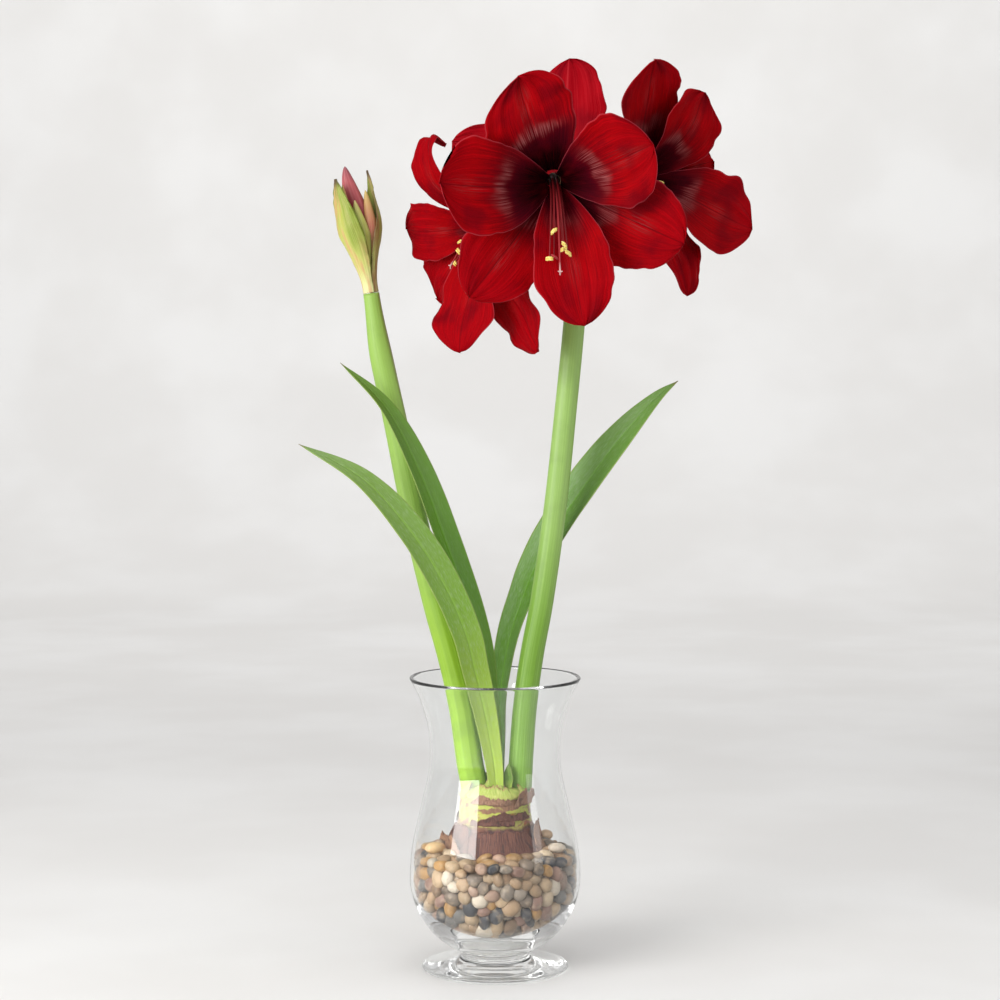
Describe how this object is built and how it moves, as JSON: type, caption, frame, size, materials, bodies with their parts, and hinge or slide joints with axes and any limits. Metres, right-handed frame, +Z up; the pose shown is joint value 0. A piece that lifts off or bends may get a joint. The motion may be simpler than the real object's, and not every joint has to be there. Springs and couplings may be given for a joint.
{
  "type": "amaryllis in glass vase",
  "caption": "Forced amaryllis with open red flowers, an opening bud and strap leaves, growing from a bulb set in pebbles in a clear footed glass vase.",
  "frame": {"origin": "centre of the vase's flat foot, where it stands", "axes": "+Z up; the front flower faces -Y; the bud and the two left leaves are towards -X"},
  "size_m": [0.3624, 0.2656, 0.7496],
  "materials": {
    "glass": "clear polished glass",
    "pebble": "smooth river pebble, satin",
    "bulb": "satin living bulb",
    "tunic": "dry papery skin",
    "scape": "satin, slightly waxy",
    "leaf": "satin, slightly waxy",
    "tube": "satin",
    "stamen": "satin",
    "spathe": "satin",
    "bud": "satin",
    "husk": "dry papery skin",
    "petal": "velvety"
  },
  "bodies": {
    "root": {"back_petal_inner_bottom": "petal", "back_petal_inner_left": "petal", "back_petal_inner_right": "petal", "back_petal_outer_left": "petal", "back_petal_outer_right": "petal", "back_petal_outer_top": "petal", "back_stamens": "stamen", "back_style": "stamen", "back_tube": "tube", "bract_left": "husk", "bract_right": "husk", "bud_front": "bud", "bud_left": "bud", "bud_right": "bud", "bud_tall": "bud", "bud_valve_left": "spathe", "bud_valve_right": "spathe", "bulb": "bulb", "front_petal_inner_bottom": "petal", "front_petal_inner_left": "petal", "front_petal_inner_right": "petal", "front_petal_outer_left": "petal", "front_petal_outer_right": "petal", "front_petal_outer_top": "petal", "front_stamens": "stamen", "front_style": "stamen", "front_tube": "tube", "glass_vase": "glass", "leaf_left_long": "leaf", "leaf_left_upright": "leaf", "leaf_right": "leaf", "leaf_shoot": "leaf", "left_petal_inner_bottom": "petal", "left_petal_inner_far": "petal", "left_petal_inner_near": "petal", "left_petal_outer_far": "petal", "left_petal_outer_near": "petal", "left_petal_outer_top": "petal", "left_stamens": "stamen", "left_style": "stamen", "left_tube": "tube", "pebble_bed": "pebble", "pebble_loose_1": "pebble", "pebble_loose_2": "pebble", "pebble_loose_3": "pebble", "right_petal_inner_far": "petal", "right_petal_inner_near": "petal", "right_petal_inner_top": "petal", "right_petal_outer_bottom": "petal", "right_petal_outer_far": "petal", "right_petal_outer_top": "petal", "right_stamens": "stamen", "right_style": "stamen", "right_tube": "tube", "scape_bud": "scape", "scape_flowers": "scape", "tunic_back": "tunic", "tunic_front": "tunic", "tunic_left": "tunic", "tunic_right": "tunic"}
  },
  "joints": []
}
